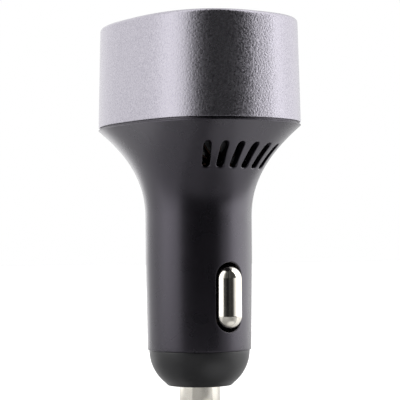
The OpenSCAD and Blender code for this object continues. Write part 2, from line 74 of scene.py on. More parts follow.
# %% Place the camera
MM = 0.001
PHOTO_PX = 400  # width and height of the picture
PX_PER_MM = 5.03  # scale of the picture at the plug's axis
AXIS_LEFT_PX = 1.6  # the plug's axis stands this far left of the middle
SENSOR_MM = 36
camera_azimuth = math.radians(55)  # 0 looks along +Y, 90 looks along -X
camera_rise = math.radians(-2.0)
camera_roll = math.radians(-0.45)
camera_distance = 300 * MM
camera_aim = Vector((0, 0, 42.6 * MM))


front = Vector((math.sin(camera_azimuth), -math.cos(camera_azimuth), 0))
back = front * math.cos(camera_rise)
back.z = math.sin(camera_rise)
turn = (-back).to_track_quat("-Z", "Y").to_matrix() @ Matrix.Rotation(camera_roll, 3, "Z")
data = bpy.data.cameras.new("camera")
data.sensor_width = SENSOR_MM
data.lens = PX_PER_MM / MM * camera_distance * SENSOR_MM / PHOTO_PX
data.shift_x = AXIS_LEFT_PX / PHOTO_PX
data.clip_start = 0.01
data.clip_end = 20
camera = bpy.data.objects.new("camera", data)
camera.matrix_world = Matrix.Translation(camera_aim + back * camera_distance) @ turn.to_4x4()
bpy.context.scene.collection.objects.link(camera)
bpy.context.scene.camera = camera
print(f"camera: lens {data.lens:.1f} mm at {camera_distance / MM:.0f} mm")

# %% [markdown]
# ## Sizes
# Lengths that the frame holds are read from it. The others are named, in millimetres. A moulded
# part has no sharp edge: each is rounded by 0.1 mm or more, and that thin line of light is much of
# what makes it look real.

# %% Read the main sizes
housing_low, housing_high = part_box("housing")
head_low, head_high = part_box("head_shell")
nose_low, nose_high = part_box("nose_cap")
tip_low, tip_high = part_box("centre_contact")
cup_low, cup_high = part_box("side_contact_right")
barrel = next(m for m in frame["record"]["mounts"] if m["name"] == "plug_barrel")

half_len = housing_high.x
half_wid = housing_high.y
squareness = 2.6  # 2 would be an ellipse
barrel_r = barrel["dims"]["r_mm"] * MM
barrel_draft = 0.3 * MM  # how far the barrel narrows to its lower end
barrel_wall = 1.7 * MM
neck_wall = 2.0 * MM
neck_power = 2.1  # how the flare opens: 2 would be a parabola
barrel_z = housing_low.z
straight_z = barrel["pos_m"][2] - barrel["dims"]["length_mm"] * MM / 2
neck_z = barrel["pos_m"][2] + barrel["dims"]["length_mm"] * MM / 2
seat_z = head_low.z
top_z = head_high.z
reveal_h = 0.4 * MM  # the dark line under the head: its height and depth
reveal_depth = 0.55 * MM
lip_h = 0.2 * MM  # the flare ends in a low upright lip
rim_z = seat_z - reveal_h
lip_z = rim_z - lip_h
collar_inset = 1.9 * MM  # from the head's outline in to the collar
room_inset = 3.4 * MM  # and in to the room inside the collar
print(f"head {2 * half_len / MM:.1f} by {2 * half_wid / MM:.1f} mm, barrel {2 * barrel_r / MM:.1f} mm")

# %% [markdown]
# ## Surfaces from grids
# Every new skin is a grid of points: a row is a closed outline round the part, and the rows are
# stacked along a profile. Columns run anticlockwise seen from above and rows run up the outside,
# so the faces point outwards. All ovals share one list of angles, with ten columns for each vent
# slot, so that a slot's patch fits them exactly.

# %% Grid helpers
SLOT_COLUMNS = 10
SLOTS_A_SIDE = 6
slot_step = math.radians(11.5)
column_step = slot_step / SLOT_COLUMNS
slot_edge = SLOTS_A_SIDE * SLOT_COLUMNS // 2  # columns from a side's middle to its last slot
window_edge = 21  # and to the side of a window's patch
quarter = np.concatenate([np.arange(slot_edge) * column_step,
                          np.linspace(slot_edge * column_step, math.pi / 2, 46)[:-1]])
half_round = np.concatenate([quarter, [math.pi / 2], math.pi - quarter[:0:-1]])
angles = np.concatenate([half_round, half_round + math.pi])
HALF = len(half_round)


def oval(angle, inset=0.0):
    """Radius of the head's outline, drawn in by inset: the curve (x/a)^n + (y/b)^n = 1."""
    along = np.abs(np.cos(angle) / (half_len - inset)) ** squareness
    across = np.abs(np.sin(angle) / (half_wid - inset)) ** squareness
    return (along + across) ** (-1 / squareness)


def polar(angle, radius, z):
    """Points at radius times (cos, sin) of the angle, at height z."""
    angle, radius, z = np.broadcast_arrays(angle, radius, z)
    return np.stack([radius * np.cos(angle), radius * np.sin(angle), z], -1)


def unit(vectors):
    """Vectors divided by their lengths."""
    return vectors / np.linalg.norm(vectors, axis=-1, keepdims=True)


def grid_faces(rows, columns, close_rows=False, close_columns=True):
    """Quads between neighbouring rows and columns of a grid of points."""
    row = np.arange(rows if close_rows else rows - 1)[:, None]
    column = np.arange(columns if close_columns else columns - 1)[None, :]
    next_row = (row + 1) % rows
    next_column = (column + 1) % columns
    corners = [row * columns + column, row * columns + next_column,
               next_row * columns + next_column, next_row * columns + column]
    return np.stack(corners, -1).reshape(-1, 4)


def sheet(points, **closing):
    """A sheet is a grid's points with their faces."""
    return points, grid_faces(*points.shape[:2], **closing)


def filleted(corners, closed=False, steps=6):
    """Profile through corners (r, z, rounding). With h as half a corner's angle, its arc's centre lies
    rounding / sin(h) along the corner's middle, and it touches the sides rounding / tan(h) away."""
    corners = np.array(corners, float)
    points = corners[:, :2]
    out = []
    for i, (here, rounding) in enumerate(zip(points, corners[:, 2])):
        if rounding == 0 or (not closed and i in (0, len(points) - 1)):
            out.append(here[None])
            continue
        to_last = unit(points[i - 1] - here)
        to_next = unit(points[(i + 1) % len(points)] - here)
        half = math.acos(np.clip(to_last @ to_next, -1, 1)) / 2
        turn = math.pi - 2 * half
        centre = here + unit(to_last + to_next) * rounding / math.sin(half)
        first = here + to_last * rounding / math.tan(half) - centre
        last = here + to_next * rounding / math.tan(half) - centre
        share = np.linspace(0, 1, steps + 1)[:, None]
        arc = (np.sin((1 - share) * turn) * first + np.sin(share * turn) * last) / math.sin(turn)
        out.append(centre + arc)
    return np.concatenate(out)


def oval_loft(profile):
    """Rows of the head's oval, one for each profile point (inset, z)."""
    return polar(angles[None, :], oval(angles[None, :], profile[:, :1]), profile[:, 1:])


def revolve(profile, columns=128):
    """Rows of circles, one for each profile point (radius, z)."""
    turn = np.arange(columns) * 2 * np.pi / columns
    return polar(turn[None, :], profile[:, :1], profile[:, 1:])


print(f"grid of {len(angles)} columns; the oval is {2 * oval(0.0) / MM:.1f} mm long")

# %% [markdown]
# A piece is welded from such grids: points that fall together become one, so seams and poles close.
# It is shaded smooth, apart from real edges. It rides on a body of the frame, has the slot of a
# finish and stands for its nodes.

# %% Make a piece
made = []


def make_piece(name, sheets, body, slot, replaces, edge_degrees=35, weld=1e-7):
    """One mesh object from (points, faces) sheets, welded where points are closer than weld."""
    counts = np.cumsum([0] + [p.reshape(-1, 3).shape[0] for p, _ in sheets])
    points = np.concatenate([p.reshape(-1, 3) for p, _ in sheets])
    faces = np.concatenate([f + first for (_, f), first in zip(sheets, counts)])
    mesh = bpy.data.meshes.new(name)
    mesh.from_pydata(points, [], faces.tolist())
    work = bmesh.new()
    work.from_mesh(mesh)
    bmesh.ops.remove_doubles(work, verts=work.verts, dist=weld)
    bmesh.ops.dissolve_degenerate(work, edges=work.edges, dist=weld)
    work.to_mesh(mesh)
    work.free()
    return finish_piece(name, mesh, body, slot, replaces, edge_degrees)


def finish_piece(name, mesh, body, slot, replaces, edge_degrees=35):
    """Shades a mesh, makes it an object at the origin, hangs it on its body, gives it its finish's slot
    and hides the nodes it stands for.
    """
    mesh.polygons.foreach_set("use_smooth", np.ones(len(mesh.polygons), bool))
    mesh.set_sharp_from_angle(angle=math.radians(edge_degrees))
    piece = bpy.data.objects.new(name, mesh)
    bpy.context.scene.collection.objects.link(piece)
    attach(piece, body)
    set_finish(piece, slot)
    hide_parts(*replaces)
    made.append(piece)
    work = bmesh.new()
    work.from_mesh(mesh)
    loose = sum(1 for edge in work.edges if len(edge.link_faces) != 2)
    work.free()
    print(f"{name}: {len(mesh.polygons)} faces, {loose} open edges")
    return piece


# %% [markdown]
# ## The housing
# The neck and barrel are one moulding in black ABS. The neck opens like a horn, while its section
# turns from the barrel's circle into the head's oval. Both skins are written as a radius at an
# angle and a height, so that a slot's edge can lie on them exactly.

# %% The housing's two surfaces
def flare_share(z):
    """How far up the flare a height lies, from 0 at the barrel to 1 at the lip."""
    return np.clip((z - neck_z) / (lip_z - neck_z), 0, 1)


def outside(angle, z):
    """Outer radius: the barrel's, plus the way to the oval times a power of the flare's share."""
    draft = barrel_draft * np.clip((straight_z - z) / (straight_z - barrel_z), 0, 1)
    radius = barrel_r - draft
    return radius + (oval(angle) - radius) * flare_share(z) ** neck_power


def inside(angle, z):
    """Inner radius: a straight bore in the barrel, and above it a wall that thickens to the lip."""
    wall = barrel_wall + (neck_wall - barrel_wall) * flare_share(z)
    return np.where(z < neck_z, barrel_r - barrel_wall, outside(angle, z) - wall)


def met_at(radius_of, facing, across, z):
    """Angle where a line that runs along facing, this far across from the axis, meets a surface.
    Repeats angle = facing + asin(across / radius) until it settles."""
    angle = np.full_like(across, facing)
    for _ in range(12):
        angle = facing + np.arcsin(across / radius_of(angle, z))
    return angle


print(f"flare at half height: {outside(0.0, (neck_z + lip_z) / 2) / MM:.2f} mm")

# %% [markdown]
# Vent slots and the contacts' windows are upright openings with round ends. A boolean would leave
# ragged edges with no rounding. Here each opening gets a patch in the grid, whose rings run from a
# rectangle on the skin, over a rounded edge, through the wall and out on the inner skin.

# %% A patch with a slot in it
SKIN_RINGS = 8
ROLL_RINGS = 7
WALL_SHARES = (0.35, 0.7, 1.0)
BACK_SHARES = (1 / 3, 2 / 3, 1.0)


def pierced_patch(facing, half_turn, band, columns, width, height, middle_z, edge_r, foot_r):
    """Closed rings round one slot that runs level along facing. The slot is an upright line thickened
    by half its width, and each ring point lies straight out from the nearest point of that line.
    The edge's rounding grows from edge_r to foot_r round the slot's foot."""
    rows = len(band) - 1
    sweep = np.linspace(-half_turn, half_turn, columns + 1)
    turn = np.concatenate([sweep[:-1], np.full(rows, half_turn), sweep[:0:-1], np.full(rows, -half_turn)])
    z = np.concatenate([np.full(columns, band[0]), band[:-1], np.full(columns, band[-1]), band[:0:-1]])
    rect = facing + turn
    line_z = np.clip(z - middle_z, -(height - width) / 2, (height - width) / 2)
    out = unit(np.stack([outside(rect, z) * np.sin(turn), z - middle_z - line_z], -1))
    rounding = edge_r + (foot_r - edge_r) * np.clip(-1.5 * out[:, 1], 0, 1)
    inward = -np.array([math.cos(facing), math.sin(facing), 0])

    def on(surface, offset):
        """Angle and height at which the slot's outline, widened by offset, meets a surface."""
        outline_z = middle_z + line_z + out[:, 1] * (width / 2 + offset)
        return met_at(surface, facing, out[:, 0] * (width / 2 + offset), outline_z), outline_z

    def ring_between(surface, first, last, share):
        """Ring on a surface, this share of the way from one outline (angle, z) to another."""
        angle = first[0] + (last[0] - first[0]) * share
        ring_z = first[1] + (last[1] - first[1]) * share
        return polar(angle, surface(angle, ring_z), ring_z)

    mouth = on(outside, rounding)
    rings = [ring_between(outside, (rect, z), mouth, share)
             for share in np.linspace(0, 1, SKIN_RINGS, endpoint=False) ** 0.8]
    for roll in np.linspace(0, math.pi / 2, ROLL_RINGS):
        angle, ring_z = on(outside, rounding * (1 - math.sin(roll)))
        depth = rounding * (1 - math.cos(roll))
        rings.append(polar(angle, outside(angle, ring_z), ring_z) + depth[:, None] * inward)
    back = on(inside, 0.0)
    wall_start, wall_end = rings[-1], ring_between(inside, back, back, 0)
    rings += [wall_start + (wall_end - wall_start) * share for share in WALL_SHARES]
    rings += [ring_between(inside, back, (rect, z), share) for share in BACK_SHARES]
    return sheet(np.array(rings))


# %% [markdown]
# Two bands of the housing hold patches: one on the flare for the vent slots and one on the barrel
# for the windows. Between the patches of a band the skin is plain.

# %% Bands with openings
slot_w = 1.6 * MM
slot_h = 4.7 * MM
slot_drop = 3.8 * MM  # from the rim down to the slots' upper end
slot_z = rim_z - slot_drop - slot_h / 2
slot_reach = 3.55 * MM
slot_edge_r = 0.15 * MM
slot_foot_r = 0.5 * MM
slot_band = np.linspace(slot_z - slot_reach, slot_z + slot_reach, 17)
window_w = 2 * cup_high.y - 1.3 * MM  # the contact's flanges reach 0.65 mm behind its sides
window_h = cup_high.z - cup_low.z + 1.2 * MM
window_z = (cup_low.z + cup_high.z) / 2
window_reach = 8.2 * MM
window_edge_r = 0.22 * MM
window_band = np.linspace(window_z - window_reach, window_z + window_reach, 33)


def plain_band(band, edge):
    """The outer and inner skin of a band, between the patches, which reach edge columns each way."""
    sheets = []
    for first in (0, HALF):
        run = np.append(angles, angles[0] + 2 * math.pi)[first + edge:first + HALF - edge + 1]
        turn, z = np.meshgrid(run, band)
        faces = grid_faces(len(band), len(run), close_columns=False)
        sheets.append((polar(turn, outside(turn, z), z), faces))
        sheets.append((polar(turn, inside(turn, z), z), faces[:, ::-1]))
    return sheets


window_patches = [pierced_patch(side, window_edge * column_step, window_band, 2 * window_edge,
                                window_w, window_h, window_z, window_edge_r, window_edge_r)
                  for side in (0, math.pi)]
first_slot = -(SLOTS_A_SIDE - 1) / 2 * slot_step
slot_patches = [pierced_patch(side + first_slot + i * slot_step, slot_step / 2, slot_band, SLOT_COLUMNS,
                              slot_w, slot_h, slot_z, slot_edge_r, slot_foot_r)
                for side in (0, math.pi) for i in range(SLOTS_A_SIDE)]
print(f"{len(slot_patches)} slots, {len(window_patches)} windows of {window_w / MM:.1f} mm")

# %% [markdown]
# The rest is plain rows: down the bore, round the barrel's open end and up again, and above the
# slots over the lip, into the dark reveal under the head and round the collar that carries it.

# %% The rest of the housing
barrel_end_r = 0.2 * MM
collar_edge_r = 0.12 * MM


def skin_rows(surface, low, high, count):
    """Rows of one of the housing's surfaces, from one height to another."""
    turn, z = np.meshgrid(angles, np.linspace(low, high, count))
    return polar(turn, surface(turn, z), z)


bore_r = barrel_r - barrel_wall
outer_r = barrel_r - barrel_draft
start_z = barrel_z + 2 * barrel_end_r
skin_z = barrel_z + 3 * barrel_end_r
ring = filleted([(bore_r, start_z, 0), (bore_r, barrel_z, barrel_end_r),
                 (outer_r, barrel_z, barrel_end_r), (outer_r, start_z, 0)])
foot = np.concatenate([skin_rows(inside, window_band[0], skin_z, 4),
                       polar(angles[None, :], ring[:, :1], ring[:, 1:]),
                       skin_rows(outside, skin_z, window_band[0], 6)])
r = collar_edge_r
collar = filleted([(0, lip_z + 0.02 * MM, 0), (0, rim_z, r), (reveal_depth, rim_z, r),
                   (reveal_depth, seat_z, 0), (collar_inset, seat_z, 0),
                   (collar_inset, housing_high.z, r), (room_inset, housing_high.z, r),
                   (room_inset, rim_z, 0)])
top = np.concatenate([skin_rows(outside, slot_band[-1], lip_z, 8), oval_loft(collar),
                      skin_rows(inside, lip_z, slot_band[-1], 8)])
sheets = [sheet(foot), sheet(top), sheet(skin_rows(outside, window_band[-1], slot_band[0], 36)),
          sheet(skin_rows(inside, slot_band[0], window_band[-1], 36))]
sheets += plain_band(window_band, window_edge) + window_patches
sheets += plain_band(slot_band, slot_edge) + slot_patches
make_piece("neck_and_barrel", sheets, "plug", "housing_abs", ["housing"])

# %% [markdown]
# Inside the moulding, two bosses take the port board's screws, and ribs guide the upright board.
# They show only as dark shapes behind the slots, so plain posts and bars with softened ends do.

# %% Bosses and ribs
board_low, board_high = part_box("port_board")
screw_low, screw_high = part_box("board_screws")
main_low, main_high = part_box("main_board")
screw_off = screw_high.y - (screw_high.x - screw_low.x) / 2
boss_r = 2.5 * MM
boss_soft = 0.3 * MM
boss_z = rim_z - 3.4 * MM
rib_t = 1 * MM
rib_from = main_high.y - 1.2 * MM  # the ribs overlap the board's edge by this much
rib_to = barrel_r - barrel_wall + 0.4 * MM
board_half = main_high.x + 0.05 * MM


def bar_sheet(low, high, soft=0.15 * MM, columns=24):
    """A bar: rows of one rounded rectangle, drawn in at both ends over a quarter circle."""
    middle = (np.array(low) + np.array(high)) / 2
    half = (np.array(high) - np.array(low)) / 2
    turn = (np.arange(columns) + 0.5) * 2 * np.pi / columns
    way = np.stack([np.cos(turn), np.sin(turn)], -1)
    roll = np.linspace(-np.pi / 2, np.pi / 2, 8)[:, None]
    flat = np.sign(way) * (half[:2] - soft) + way * soft * np.cos(roll)[..., None]
    z = np.sign(roll) * (half[2] - soft) + soft * np.sin(roll) + 0 * turn
    rows = np.concatenate([flat, z[..., None]], -1) + middle
    caps = [np.broadcast_to(middle + [0, 0, end * half[2]], (1, columns, 3)) for end in (-1, 1)]
    return sheet(np.concatenate([caps[0], rows, caps[1]]))


post = filleted([(0, boss_z, 0), (boss_r, boss_z, boss_soft), (boss_r, board_low.z, boss_soft),
                 (0, board_low.z, 0)])
bosses = [sheet(revolve(post, 48) + [0, y, 0]) for y in (-screw_off, screw_off)]
ribs = [bar_sheet((x, y, main_low.z), (x + rib_t, y + rib_to - rib_from, neck_z))
        for x in (-board_half - rib_t, board_half) for y in (-rib_to, rib_from)]
make_piece("bosses_and_ribs", bosses + ribs, "plug", "housing_abs", ["housing"])

# %% [markdown]
# ## The metal head
# The sleeve is cut from drawn aluminium tube, and its wall leans in a little towards the top. It is
# the oval carried round one closed profile, whose two rounded edges catch the light.

# %% The head sleeve
CORNER_STEPS = 10
head_draft = 0.45 * MM
shell_inner = 1.75 * MM
sleeve = filleted([(shell_inner, seat_z, 0.1 * MM), (0.0, seat_z, 0.16 * MM),
                   (head_draft, top_z, 0.8 * MM), (shell_inner, top_z, 0.2 * MM)],
                  closed=True, steps=CORNER_STEPS)
wall_at = 2 * (CORNER_STEPS + 1)  # the outer wall starts after the profile's first two corners
rise = np.linspace(0, 1, 24)[1:-1, None]
wall = sleeve[wall_at - 1] + (sleeve[wall_at] - sleeve[wall_at - 1]) * rise
sleeve = np.concatenate([sleeve[:wall_at], wall, sleeve[wall_at:]])
make_piece("head_sleeve", [sheet(oval_loft(sleeve), close_rows=True)], "plug", "head_aluminium",
           ["head_shell"])

# %% [markdown]
# ## The face
# The face plate is a flat black moulding with openings for the ports and the lamp, so it is drawn as
# filled outlines, with a small bevel that rounds every edge alike.

# %% Face plate from outlines
face_low, face_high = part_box("face_plate")
lens_low, lens_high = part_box("indicator_lens")
lens_y = (lens_low.y + lens_high.y) / 2
lens_r = 1.2 * MM
lens_gap = 0.05 * MM
port_gap = 0.15 * MM  # from a port's shell to its opening
port_corner = 0.8 * MM
face_bevel = 0.12 * MM


def rounded_rectangle(centre, half, corner, steps=8):
    """Outline of a rectangle whose corners are quarter circles, drawn in from the rectangle's own
    corners by their radius."""
    turn = np.linspace(0, np.pi / 2, steps + 1) + np.arange(4)[:, None] * np.pi / 2
    signs = np.array([(1, 1), (-1, 1), (-1, -1), (1, -1)])[:, None]
    arcs = corner * np.stack([np.cos(turn), np.sin(turn)], -1) + signs * (np.array(half) - corner)
    return arcs.reshape(-1, 2) + np.array(centre)


outlines = [polar(angles, oval(angles, collar_inset), 0)[:, :2]]
for side in ("left", "right"):
    low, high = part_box("usb_shell_" + side)
    half = ((high.x - low.x) / 2 + port_gap, (high.y - low.y) / 2 + port_gap)
    outlines.append(rounded_rectangle(((low.x + high.x) / 2, 0), half, port_corner + port_gap))
lens_turn = np.arange(40) * 2 * np.pi / 40
outlines.append(polar(lens_turn, lens_r + lens_gap, 0)[:, :2] + [0, lens_y])
curve = bpy.data.curves.new("face_panel", "CURVE")
curve.dimensions = "2D"
curve.fill_mode = "BOTH"
curve.extrude = (face_high.z - face_low.z) / 2 - face_bevel
curve.bevel_depth = face_bevel
curve.bevel_resolution = 3
curve.offset = -face_bevel
for outline in outlines:
    spline = curve.splines.new("POLY")
    spline.points.add(len(outline) - 1)
    spline.points.foreach_set("co", np.insert(outline, [2, 2], [0, 1], axis=1).ravel())
    spline.use_cyclic_u = True
holder = bpy.data.objects.new("face_panel", curve)
mesh = bpy.data.meshes.new_from_object(holder)
mesh.name = "face_panel"
mesh.transform(Matrix.Translation((0, 0, (face_low.z + face_high.z) / 2)))
bpy.data.objects.remove(holder)
# The curve doesn't join its flat fills to its bevels, so the edges between them count as open.
finish_piece("face_panel", mesh, "plug", "face_plastic", ["face_plate"], edge_degrees=25)

# %% [markdown]
# The lamp's window is a turned rod of clear plastic with a domed end, held by a flange under the
# face. A revolved profile gives all three.

# %% Lamp window
flange_r = 1.7 * MM
flange_z = face_low.z - 0.8 * MM
lens_profile = filleted([(0, lens_low.z, 0), (lens_r, lens_low.z, 0.05 * MM), (lens_r, flange_z, 0),
                         (flange_r, flange_z, 0.05 * MM), (flange_r, face_low.z, 0.05 * MM),
                         (lens_r, face_low.z, 0), (lens_r, lens_high.z - 0.15 * MM, 0.12 * MM),
                         (0.4 * MM, lens_high.z, 0.4 * MM), (0, lens_high.z, 0)])
lens_rows = revolve(lens_profile, 40) + np.array([0, lens_y, 0])
make_piece("lamp_window", [sheet(lens_rows)], "plug", "lens_polycarbonate", ["indicator_lens"])

# %% [markdown]
# ## The nose and the tip
# The nose is a round moulding that plugs into the barrel's end and lets the tip through. It is
# revolved, with a side of one arc, where a chamfered cylinder would look faceted.

# %% Nose ring
pin_r = 4 * MM
hole_r = pin_r + 0.1 * MM
nose_r = (nose_high.x - nose_low.x) / 2
nose_end_r = 6.8 * MM
nose_edge = 0.5 * MM
spigot_r = barrel_r - barrel_wall - 0.05 * MM
well_r = 5.6 * MM
shoulder_z = nose_low.z + 1.6 * MM  # floor of the well, where the tip's flange rests
arc_end_z = barrel_z - 0.3 * MM


# The arc's centre is level with the barrel's end, so its radius is (in^2 + up^2) / (2 in).
side_in = nose_r - nose_end_r
side_up = barrel_z - nose_low.z - nose_edge
arc_r = (side_in ** 2 + side_up ** 2) / (2 * side_in)
turn = np.linspace(-math.asin(side_up / arc_r), 0, 16)
arc = polar(turn, arc_r, 0)[:, :2] + [nose_r - arc_r, barrel_z]
foot = filleted([(hole_r, nose_low.z, 0), (nose_end_r - nose_edge, nose_low.z, 0.4 * MM),
                 (*arc[0], 0)])[1:-1]
top = filleted([(nose_r, arc_end_z, 0), (nose_r, barrel_z, 0.1 * MM), (spigot_r, barrel_z, 0),
                (spigot_r, nose_high.z, 0.2 * MM), (well_r, nose_high.z, 0.1 * MM),
                (well_r, shoulder_z, 0), (hole_r, shoulder_z, 0), (hole_r, nose_low.z, 0)])
nose = revolve(np.concatenate([foot, arc[arc[:, 1] < arc_end_z], top]), 160)
make_piece("nose_ring", [sheet(nose, close_rows=True)], "plug", "nose_plastic", ["nose_cap"])

# %% [markdown]
# The tip is a turned steel pin with a round end, plated. A flange keeps it in the nose, and a stem
# above the flange centres the coil. It is revolved in one profile too.

# %% Tip contact
tip_round = 2.8 * MM
flange_top = shoulder_z + 1.4 * MM
stem_r = 2.2 * MM
tip_profile = filleted([(0, 0, 0), (pin_r, 0, tip_round), (pin_r, shoulder_z, 0),
                        (tip_high.x, shoulder_z, 0.1 * MM), (tip_high.x, flange_top, 0.1 * MM),
                        (stem_r, flange_top, 0), (stem_r, tip_high.z, 0.4 * MM),
                        (0, tip_high.z, 0)], steps=16)
make_piece("tip_contact", [sheet(revolve(tip_profile))], "tip", "nickel_plate", ["centre_contact"])

# %% [markdown]
# ## The side contacts
# Each is drawn from thin nickel-plated strip: half a capsule that stands out of its window, with a
# flat flange along each side that keeps it in. It is a stack of rings, each a line thickened by a
# radius that follows a circle over the top. The left one is the right one, turned half round.

# %% Side contact cups
RING = 96
SIDES = (("right", 1), ("left", -1))  # and the sign of X and Y on that side
cup_r = 2.65 * MM
cup_line = (cup_high.z - cup_low.z) / 2 - cup_r
wing_z = cup_line + cup_r - 1 * MM  # the flanges end 1 mm before the cup's ends
cup_wall = 0.4 * MM
cup_axis = cup_high.x - cup_r
flange_x = cup_low.x + cup_wall


def capsule_ring(x, radius, wings=False):
    """A ring in the plane x: points of an upright line, pushed out by radius. With wings, the points
    between the flanges' ends go out to the flanges' sides."""
    turn = (np.arange(RING) + 0.5) * 2 * np.pi / RING
    y = radius * np.cos(turn)
    z = radius * np.sin(turn) + np.sign(np.sin(turn)) * cup_line
    if wings:
        y = np.where(np.abs(z) < wing_z, np.sign(y) * cup_high.y, y)
    return np.stack([np.full(RING, x), y, z + window_z], -1)


# From the inner crest out to the flange's lower face, round it, up the side and over the top.
over = np.linspace(np.pi / 2, 0, 25)
inner_r = cup_r - cup_wall
rings = [capsule_ring(cup_axis + inner_r * math.sin(t), inner_r * math.cos(t)) for t in over]
rings += [capsule_ring(cup_low.x, inner_r), capsule_ring(cup_low.x, cup_r, wings=True),
          capsule_ring(flange_x, cup_r, wings=True), capsule_ring(flange_x, cup_r)]
rings += [capsule_ring(cup_axis + cup_r * math.sin(t), cup_r * math.cos(t)) for t in over[::-1]]
for side, sign in SIDES:
    make_piece("side_contact_cup_" + side, [sheet(np.array(rings) * [sign, sign, 1])],
               side + "_contact", "nickel_plate", ["side_contact_" + side])

# %% [markdown]
# ## Springs
# Behind the tip is a coil of round wire: a circle carried along a helix whose end turns lie flat.

# %% Coil spring
spring_low, spring_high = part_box("centre_spring")
spring_turns = 6
wire_r = 0.35 * MM
coil_r = (spring_high.x - spring_low.x) / 2 - wire_r
closed_rise = 2.2 * wire_r  # an end turn lies against the next one


def circle(radius, sides):
    """The section of a round wire."""
    return polar(np.arange(sides) * 2 * np.pi / sides, radius, 0)[:, :2]


def sweep(path, out, section, closed=False):
    """A section carried along a path. Its first axis is the direction out, set square to the path,
    and its second is square to both, so the faces point outwards."""
    along = unit(np.roll(path, -1, 0) - np.roll(path, 1, 0) if closed else np.gradient(path, axis=0))
    out = unit(out - (out * along).sum(1)[:, None] * along)
    rows = path[:, None] + out[:, None] * section[:, :1] + np.cross(along, out)[:, None] * section[:, 1:]
    if not closed:
        caps = [np.repeat(path[i][None, None], len(section), 1) for i in (0, -1)]
        rows = np.concatenate([caps[0], rows, caps[1]])
    return sheet(rows, close_rows=closed)


turns = np.linspace(0, spring_turns, spring_turns * 40 + 1)
low, high = spring_low.z + wire_r, spring_high.z - wire_r
marks = [0, 1, spring_turns - 1, spring_turns]
rise = np.interp(turns, marks, [low, low + closed_rise, high - closed_rise, high])
helix = polar(2 * np.pi * turns, coil_r, rise)
coil = sweep(helix, helix * [1, 1, 0], circle(wire_r, 12))
tip_spring = make_piece("tip_coil_spring", [coil], "plug", "spring_steel", ["centre_spring"])
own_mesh(tip_spring)

# %% [markdown]
# Behind each side contact is a leaf, bent from flat strip: a foot against the board, a bend, a leg
# and a round knuckle. A section carried along that line keeps its thickness round the bends.

# %% Leaf springs
leaf_low, leaf_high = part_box("contact_spring_right")
leaf_t = 0.3 * MM
leaf_bend_r = 1.2 * MM
leaf_knuckle_r = 1.5 * MM
leaf_angle = math.radians(50)
leaf_tail = math.radians(60)
foot_x = leaf_low.x + leaf_t / 2
press_x = leaf_high.x - leaf_t / 2 - leaf_knuckle_r
knuckle = polar(np.linspace(leaf_angle, -leaf_tail, 20), leaf_knuckle_r, 0)[:, :2] + [press_x, window_z]
leg_x = knuckle[0, 0] - foot_x - leaf_bend_r * (1 - math.cos(leaf_angle))
bend_z = knuckle[0, 1] + leg_x / math.tan(leaf_angle) + leaf_bend_r * math.sin(leaf_angle)
bend = polar(np.linspace(math.pi, math.pi + leaf_angle, 8), leaf_bend_r, 0)[:, :2]
line = np.concatenate([[[foot_x, leaf_high.z]], bend + [foot_x + leaf_bend_r, bend_z], knuckle])
strip = rounded_rectangle((0, 0), (leaf_t / 2, leaf_high.y), 0.06 * MM, steps=3)
leaf_points, leaf_faces = sweep(np.insert(line, 1, 0, axis=1), np.array([-1.0, 0, 0]), strip)
for side, sign in SIDES:
    leaf = make_piece("leaf_spring_" + side, [(leaf_points * [sign, sign, 1], leaf_faces)], "plug",
                      "spring_steel", ["contact_spring_" + side])
    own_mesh(leaf)

# %% [markdown]
# ## The converter's parts
# Behind the slots stands the choke: a ring of pressed iron powder with wire wound through it. The
# ring is revolved. Each turn of wire is a loop of its own, which looks the same as one long wire.

# %% Choke
core_low, core_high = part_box("choke_core")
choke_x = (core_low.x + core_high.x) / 2
choke_z = (core_low.z + core_high.z) / 2
choke_half = (core_high.x - core_low.x) / 2
choke_ring = 2.9 * MM
choke_mid_r = (core_high.z - core_low.z) / 2 - choke_ring / 2
choke_wire_r = 0.3 * MM
choke_gap = choke_wire_r + 0.05 * MM
CHOKE_TURNS = 14


def about_x(rows):
    """Turns a shape about the Z axis so that its axis lies along X, at the choke's middle."""
    return np.stack([rows[..., 2] + choke_x, rows[..., 1], -rows[..., 0] + choke_z], -1)


def wire_loop(turn):
    """One turn of wire: a tube along a rounded rectangle that goes round the ring's section."""
    half = (choke_ring / 2 + choke_gap, choke_half + choke_gap)
    line = rounded_rectangle((choke_mid_r, 0), half, 0.9 * MM)
    path = polar(turn, line[:, 0], line[:, 1])
    points, faces = sweep(path, path - polar(turn, choke_mid_r, 0), circle(choke_wire_r, 10), closed=True)
    return about_x(points), faces


core_section = rounded_rectangle((choke_mid_r, 0), (choke_ring / 2, choke_half), 0.7 * MM)
make_piece("choke_ring", [sheet(about_x(revolve(core_section, 72)), close_rows=True)], "plug",
           "ferrite", ["choke_core"])
make_piece("choke_wire", [wire_loop((i + 0.5) * 2 * math.pi / CHOKE_TURNS) for i in range(CHOKE_TURNS)],
           "plug", "copper_wire", ["choke_winding"], edge_degrees=60)

# %% [markdown]
# The two capacitors are aluminium cans, revolved, with the groove near the foot that holds the seal
# and a rolled top edge, where a plain cylinder would look like a peg.

